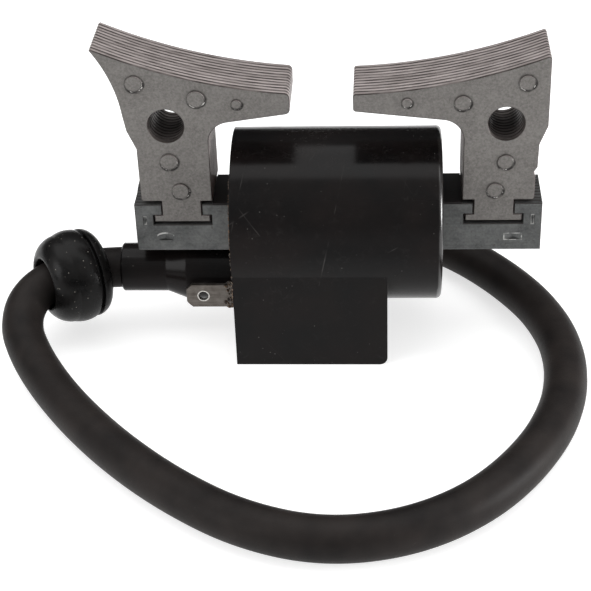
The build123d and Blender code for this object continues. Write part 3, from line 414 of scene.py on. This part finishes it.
def resin_traces():
    """Thin resin over the rim: amber to brown, grainy with trapped dust."""
    s = Shader("resin_traces", (0.1, 0.05, 0.02), 0.3, specular=0.5)
    patch = s.noise(1.1, 4.0, 0.7, distortion=0.6)
    color = s.mix(s.span(patch, 0.42, 0.6), (0.01, 0.007, 0.005), (0.12, 0.068, 0.036))
    grit = s.span(s.cells(2.2), 0.3, 0.16)
    color = s.mix(s.math("MULTIPLY", grit, 0.55), color, (0.36, 0.29, 0.21))
    s.bump(patch, 0.6, 0.15)
    return s.done(color, s.span(patch, 0.3, 0.7, 0.2, 0.5))


def plated_metal(name, low, high, roughness, metallic=0.95, rim_highlight=None):
    """Plated sheet or wire: drawn grain, stains, softened edges, and a painted highlight ring round
    a hole if one is given.

    rim_highlight is x, z and radius in millimetres of the painted highlight ring round a hole along
    Y.
    """
    s = Shader(name, high, roughness, metallic=metallic)
    grain = s.noise((0.2, 1.0, 4.0), 3.0, 0.6)
    stain = s.noise(0.5, 4.0, 0.65, distortion=0.6)
    tone = s.math("ADD", s.math("MULTIPLY", grain, 0.4), s.math("MULTIPLY", stain, 0.6))
    s.soften(0.1)
    s.bump(grain, 0.15, 0.02)
    rough = s.span(stain, 0.3, 0.7, roughness - 0.08, roughness + 0.12)
    color = s.mix(s.span(tone, 0.36, 0.64), low, high)
    # Painted highlight ring round the hole.
    if rim_highlight is not None:
        x_mm, z_mm, radius = rim_highlight
        off_rim_highlight = s.math("ABSOLUTE", s.math("SUBTRACT", off_axis(s, x_mm, z_mm), radius))
        color = s.mix(s.span(off_rim_highlight, 0.16, 0.06), color, (0.62, 0.6, 0.57))
    return s.done(color, rough)


def moulded(name, low, high, roughness, specular=0.4):
    """A small moulded or lacquered piece with a mottled skin."""
    s = Shader(name, high, roughness, specular=specular)
    cloud = s.noise(0.6, 4.0, 0.6)
    s.soften(0.15)
    s.bump(s.noise(3.0, 2.0, 0.5), 0.2, 0.04)
    rough = s.span(cloud, 0.3, 0.7, roughness - 0.06, roughness + 0.08)
    return s.done(s.mix(s.span(cloud, 0.35, 0.65), low, high), rough)


WIRE_PITCH = 0.32 * MM


def wound_copper():
    """Enamelled turns laid side by side along X, with a ripple on each."""
    s = Shader("enamelled_copper", (0.55, 0.2, 0.08), 0.3, metallic=0.8)
    along = s.math("MULTIPLY", s.axis(s.coordinates, 0), 2 * math.pi / WIRE_PITCH)
    turns = s.math("SINE", along)
    blotch = s.noise(0.4, 3.0, 0.6)
    color = s.mix(s.span(blotch, 0.35, 0.65), (0.36, 0.11, 0.035), (0.62, 0.25, 0.1))
    s.bump(turns, 0.6, 0.08)
    return s.done(color, s.span(turns, -1.0, 1.0, 0.5, 0.25))


def board_laminate():
    """Green glass-epoxy board with traces under the solder mask."""
    s = Shader("circuit_board", (0.03, 0.14, 0.05), 0.35, specular=0.5, coat=0.2)
    weave = s.math("MULTIPLY", s.noise((2.5, 0.3, 0.3), 1.0), s.noise((0.3, 2.5, 0.3), 1.0))
    trace = s.span(s.cells(0.22, "DISTANCE_TO_EDGE", 0.4), 0.12, 0.1)
    color = s.mix(s.span(weave, 0.15, 0.4), (0.02, 0.1, 0.035), (0.035, 0.16, 0.06))
    color = s.mix(s.math("MULTIPLY", trace, 0.6), color, (0.07, 0.25, 0.09))
    s.bump(trace, 0.3, 0.05)
    return s.done(color, s.span(weave, 0.1, 0.4, 0.28, 0.42))


def floor_paper():
    """White paper that glows a little of itself, so that it stays white in the picture."""
    s = Shader("floor_paper", (0.6, 0.6, 0.6), 0.9, specular=0.0)
    s.bsdf.inputs["Emission Color"].default_value = (1.0, 1.0, 1.0, 1.0)
    s.bsdf.inputs["Emission Strength"].default_value = 0.68
    tooth = s.noise(0.8, 3.0, 0.6)
    s.bump(tooth, 0.05, 0.05)
    return s.done(s.mix(tooth, (0.59, 0.59, 0.59), (0.61, 0.61, 0.61)))


SPADE_HOLE_X_MM = -25.2
SPADE_MID_Z_MM = -34.25
# Where the painted highlight ring round the terminal's hole goes.
SPADE_HOLE_HIGHLIGHT_MM = (SPADE_HOLE_X_MM, SPADE_MID_Z_MM, 1.03)
HOUSING_RIM_GLOSS = 0.75
TOWER_RIM_GLOSS = 0.12

tinned = plated_metal("tinned_metal", (0.07, 0.06, 0.05), (0.18, 0.165, 0.148), 0.38, 0.8)
terminal_tin = plated_metal(
    "terminal_tin", (0.06, 0.05, 0.043), (0.165, 0.15, 0.135), 0.38, 0.8, SPADE_HOLE_HIGHLIGHT_MM
)
brass = plated_metal("brass", (0.5, 0.34, 0.12), (0.8, 0.6, 0.27), 0.3)
spring = plated_metal("spring_steel", (0.3, 0.3, 0.3), (0.58, 0.58, 0.58), 0.28)
bobbin = moulded("bobbin_plastic", (0.006, 0.005, 0.005), (0.012, 0.01, 0.01), 0.45, 0.2)
epoxy = moulded("component_epoxy", (0.01, 0.01, 0.01), (0.022, 0.022, 0.022), 0.45)
lacquer = moulded("resistor_lacquer", (0.32, 0.2, 0.09), (0.5, 0.36, 0.19), 0.3, 0.5)
film = moulded("capacitor_film", (0.26, 0.03, 0.015), (0.42, 0.07, 0.03), 0.25, 0.5)
tape = moulded("insulating_tape", (0.42, 0.3, 0.08), (0.6, 0.46, 0.16), 0.35, 0.5)
steel = lamination_steel()
core = core_steel()
plastic = housing_plastic("housing_plastic", HOUSING_RIM_GLOSS)
tower_plastic = housing_plastic("tower_plastic", TOWER_RIM_GLOSS)
rubber = grommet_rubber()
jacket = lead_rubber()
copper = wound_copper()
resin = potting_resin()
resin_trace = resin_traces()

NODE_MATERIALS = {
    "left_pole_laminations": steel,
    "right_pole_laminations": steel,
    "core_laminations": core,
    "coil_housing": plastic,
    "ht_tower": tower_plastic,
    "potting_resin": resin,
    "primary_bobbin": bobbin,
    "secondary_bobbin": bobbin,
    "primary_winding": copper,
    "secondary_winding": copper,
    "winding_tape": tape,
    "primary_wires": copper,
    "earth_wire": tinned,
    "ht_contact_spike": brass,
    "circuit_board": board_laminate(),
    "switching_transistor": epoxy,
    "transistor_legs": tinned,
    "board_resistors": lacquer,
    "film_capacitor": film,
    "clamp_diode": epoxy,
    "spade_terminal": terminal_tin,
    "ht_lead": jacket,
    "lead_conductor": copper,
    "lead_grommet": rubber,
    "plug_cap_boot": rubber,
    "plug_cap_contact": brass,
    "plug_cap_spring": spring,
}
for node_name, material in NODE_MATERIALS.items():
    mesh = nodes[node_name].data
    mesh.materials.clear()
    mesh.materials.append(material)

# ---------------------------------------------------------------- high-tension lead
LEAD_DIA = 7.7 * MM
LEAD_POINTS_MM = (
    (-36.8, 0.0, -32.95),
    (-42.5, 0.0, -32.95),
    (-48.4, -1.2, -32.9),
    (-53.6, -3.4, -33.1),
    (-58.6, -7.2, -35.2),
    (-59.4, -13.2, -38.0),
    (-56.3, -20.0, -39.8),
    (-51.5, -27.8, -40.9),
    (-45.0, -37.0, -41.15),
    (-36.5, -47.0, -41.15),
    (-26.5, -56.4, -41.15),
    (-14.8, -64.6, -41.15),
    (-1.5, -68.8, -41.15),
    (12.0, -66.7, -41.15),
    (24.0, -59.4, -41.15),
    (33.8, -47.2, -41.15),
    (40.0, -33.0, -41.15),
    (41.6, -18.0, -41.15),
    (38.8, -4.4, -41.15),
    (32.4, 7.6, -41.15),
    (23.2, 18.8, -41.15),
    (10.5, 26.4, -40.1),
    (-3.5, 29.3, -37.7),
    (-17.0, 29.3, -37.7),
)

lead_curve = bpy.data.curves.new("lead_jacket", "CURVE")
lead_curve.dimensions = "3D"
lead_curve.resolution_u = 16
lead_curve.bevel_depth = LEAD_DIA / 2
lead_curve.bevel_resolution = 10
lead_curve.use_fill_caps = True
lead_spline = lead_curve.splines.new("NURBS")
lead_spline.points.add(len(LEAD_POINTS_MM) - 1)
for point, place in zip(lead_spline.points, LEAD_POINTS_MM):
    point.co = (place[0] * MM, place[1] * MM, place[2] * MM, 1.0)
lead_spline.order_u = 3
lead_spline.use_endpoint_u = True
lead = bpy.data.objects.new("lead_jacket", lead_curve)
bpy.context.scene.collection.objects.link(lead)
lead_curve.materials.append(jacket)
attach(lead, BODY)
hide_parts("ht_lead")

# ---------------------------------------------------------------- resin that crept over the rim
BEAD_UNEVENNESS = 0.22
FULL_TURN = 6.28  # radians, rounded


class Steps:
    """A repeatable sequence of numbers, by a linear congruence."""

    FACTOR = 1103515245
    SHIFT = 12345
    MODULUS = 2147483648

    def __init__(self, seed):
        self.state = seed

    def next(self, low=0.0, high=1.0):
        """The next number, from low to high."""
        self.state = (self.state * self.FACTOR + self.SHIFT) % self.MODULUS
        return low + (high - low) * self.state / self.MODULUS


def lumpy(mesh_data, place, size, steps):
    """Adds one uneven, flattened bead to mesh_data at place, in millimetres."""
    bead = bmesh.new()
    bmesh.ops.create_icosphere(bead, subdivisions=2, radius=1.0)
    phase = [steps.next(0.0, FULL_TURN) for _ in range(3)]
    for v in bead.verts:
        wave = math.sin(2.3 * v.co.x + phase[0])
        swell = 1.0 + BEAD_UNEVENNESS * wave * math.sin(2.1 * v.co.y + phase[1])
        swell += 0.6 * BEAD_UNEVENNESS * math.sin(3.4 * v.co.z + phase[2])
        v.co = Vector(
            (
                (place[0] + v.co.x * swell * size[0]) * MM,
                (place[1] + v.co.y * swell * size[1]) * MM,
                (place[2] + v.co.z * swell * size[2]) * MM,
            )
        )
    scratch = bpy.data.meshes.new("bead")
    bead.to_mesh(scratch)
    bead.free()
    mesh_data.from_mesh(scratch)
    bpy.data.meshes.remove(scratch)


def resin_piece(name, spots, seed):
    """One object made of beads, (place, size) each in millimetres."""
    steps = Steps(seed)
    merged = bmesh.new()
    for place, size in spots:
        lumpy(merged, place, size, steps)
    made = bpy.data.meshes.new(name)
    merged.to_mesh(made)
    merged.free()
    for polygon in made.polygons:
        polygon.use_smooth = True
    made.materials.append(resin_trace)
    obj = bpy.data.objects.new(name, made)
    bpy.context.scene.collection.objects.link(obj)
    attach(obj, BODY)
    return obj


# Where the beads go, in millimetres, and how many there are of each kind.
RIM_X = -18.95
RIM_RADIUS = 15.85
AXIS_Z = -21.15
FRONT_Y = -15.2
FRONT_HEIGHT = 11.5  # how far down the straight front edge the beads go
TAB_FRONT_Y = -8.42
TOWER_AXIS_Z = -32.95
COLLAR_X = -18.6
COLLAR_RADIUS = 6.2
TAB_ROOT_X = -18.8
TAB_EDGE_ROOT_X = -18.7
TAB_MID_Y = -8.0

RIM_BEADS = 60
FRONT_BEADS = 42
COLLAR_BEADS = 26
TAB_GRAINS = 70
TAB_EDGE_BEADS = 14

walk = Steps(71)
rim_spots = []
for _ in range(RIM_BEADS):
    angle = math.radians(walk.next(38.0, 90.0))
    size = walk.next(0.07, 0.2)
    y = -RIM_RADIUS * math.sin(angle)
    z = AXIS_Z + RIM_RADIUS * math.cos(angle)
    rim_spots.append(((RIM_X + walk.next(-0.06, 0.05), y, z), (0.7 * size, size, size)))
for _ in range(FRONT_BEADS):
    z = AXIS_Z - FRONT_HEIGHT * walk.next() ** 0.8
    size = walk.next(0.08, 0.24)
    rim_spots.append(((RIM_X + walk.next(-0.08, 0.05), FRONT_Y, z), (0.7 * size, 0.7 * size, size)))
resin_piece("resin_rim_beads", rim_spots, 5)

collar_spots = []
for index in range(COLLAR_BEADS):
    angle = index / COLLAR_BEADS * 2 * math.pi
    size = walk.next(0.35, 0.75)
    reach = COLLAR_RADIUS + walk.next(-0.1, 0.25)
    y = reach * math.sin(angle)
    z = TOWER_AXIS_Z + reach * math.cos(angle)
    collar_spots.append(((COLLAR_X + walk.next(-0.2, 0.05), y, z), (0.8 * size, size, size)))
resin_piece("resin_tower_collar", collar_spots, 11)

tab_spots = []
for _ in range(TAB_GRAINS):
    creep = walk.next() ** 1.6
    size = walk.next(0.12, 0.3)
    y = TAB_FRONT_Y + walk.next(-0.12, 0.02)
    z = SPADE_MID_Z_MM + walk.next(-2.4, 3.2)
    tab_spots.append(((TAB_ROOT_X - 2.4 * creep, y, z), (size, 0.7 * size, size)))
for index in range(TAB_EDGE_BEADS):
    size = walk.next(0.2, 0.45)
    z = SPADE_MID_Z_MM + (2.5 if index % 2 else -2.45)
    place = (TAB_EDGE_ROOT_X - walk.next(0.0, 1.6), TAB_MID_Y + walk.next(-0.3, 0.3), z)
    tab_spots.append((place, (size, size, 0.6 * size)))
resin_piece("resin_tab_collar", tab_spots, 23)

# ---------------------------------------------------------------- stage, light and camera
FLOOR_REACH = 4.0
FLOOR_SIGNS = ((-1, -1), (1, -1), (1, 1), (-1, 1))

floor_mesh = bpy.data.meshes.new("floor")
floor_corners = [(x * FLOOR_REACH, y * FLOOR_REACH, FLOOR_Z) for x, y in FLOOR_SIGNS]
floor_mesh.from_pydata(floor_corners, [], [(0, 1, 2, 3)])
floor = bpy.data.objects.new("floor", floor_mesh)
bpy.context.scene.collection.objects.link(floor)
floor_mesh.materials.append(floor_paper())


def soft_box(name, place, target, size, power):
    """A white rectangular area light at place, aimed at target, with its power in watts."""
    light = bpy.data.lights.new(name, "AREA")
    light.shape = "RECTANGLE"
    light.size, light.size_y = size
    light.energy = power
    lamp = bpy.data.objects.new(name, light)
    bpy.context.scene.collection.objects.link(lamp)
    lamp.location = place
    aim = Vector(target) - Vector(place)
    lamp.rotation_mode = "QUATERNION"
    lamp.rotation_quaternion = aim.to_track_quat("-Z", "Y")


TARGET = (0.0, -0.01, -0.02)
soft_box("overhead", (0.0, 0.16, 0.8), TARGET, (1.6, 0.82), 6.9)
soft_box("left_fill", (-0.85, -0.5, 0.4), TARGET, (0.6, 0.6), 3.9)
soft_box("right_fill", (0.85, -0.5, 0.4), TARGET, (0.6, 0.6), 1.2)
soft_box("right_strip", (0.42, -0.07, 0.02), (0.019, -0.01, -0.02), (0.14, 0.16), 1.5)

world = bpy.data.worlds.new("studio")
world.use_nodes = True
world_tree = world.node_tree
background = world_tree.nodes["Background"]
background.inputs["Color"].default_value = (1.0, 1.0, 1.0, 1.0)
sky = world_tree.nodes.new("ShaderNodeTexCoord")
direction = world_tree.nodes.new("ShaderNodeSeparateXYZ")
world_tree.links.new(sky.outputs["Generated"], direction.inputs[0])


def sky_ramp(part, low, high, to_low, to_high):
    """One part of the direction of view, carried smoothly from low..high to to_low..to_high."""
    made = world_tree.nodes.new("ShaderNodeMapRange")
    made.interpolation_type = "SMOOTHSTEP"
    made.inputs["From Min"].default_value = low
    made.inputs["From Max"].default_value = high
    made.inputs["To Min"].default_value = to_low
    made.inputs["To Max"].default_value = to_high
    world_tree.links.new(part, made.inputs["Value"])
    return made.outputs["Result"]


brighter_up = sky_ramp(direction.outputs["Z"], 0.15, 0.85, 0.1, 0.75)
darker_behind = sky_ramp(direction.outputs["Y"], -0.1, 0.5, 1.0, 0.35)
dimmed = world_tree.nodes.new("ShaderNodeMath")
dimmed.operation = "MULTIPLY"
world_tree.links.new(brighter_up, dimmed.inputs[0])
world_tree.links.new(darker_behind, dimmed.inputs[1])
world_tree.links.new(dimmed.outputs["Value"], background.inputs["Strength"])
bpy.context.scene.world = world

CAMERA_PLACE = (0.009279, -0.260426, 0.129515)
SENSOR_WIDTH_MM = 36.0
LENS_MM = 98.37

camera_data = bpy.data.cameras.new("camera")
camera_data.sensor_width = SENSOR_WIDTH_MM
camera_data.lens = LENS_MM
camera_data.clip_start = 0.01
camera_data.clip_end = 20.0
camera = bpy.data.objects.new("camera", camera_data)
bpy.context.scene.collection.objects.link(camera)
right = Vector((0.9984, 0.0472, -0.0323)).normalized()
forward = Vector((-0.0573, 0.8373, -0.5438)).normalized()
up = right.cross(forward).normalized()
right = forward.cross(up).normalized()
camera.matrix_world = Matrix(
    (
        (right.x, up.x, -forward.x, CAMERA_PLACE[0]),
        (right.y, up.y, -forward.y, CAMERA_PLACE[1]),
        (right.z, up.z, -forward.z, CAMERA_PLACE[2]),
        (0.0, 0.0, 0.0, 1.0),
    )
)
bpy.context.scene.camera = camera
bpy.context.scene.view_settings.view_transform = "Standard"
bpy.context.scene.view_settings.look = "None"
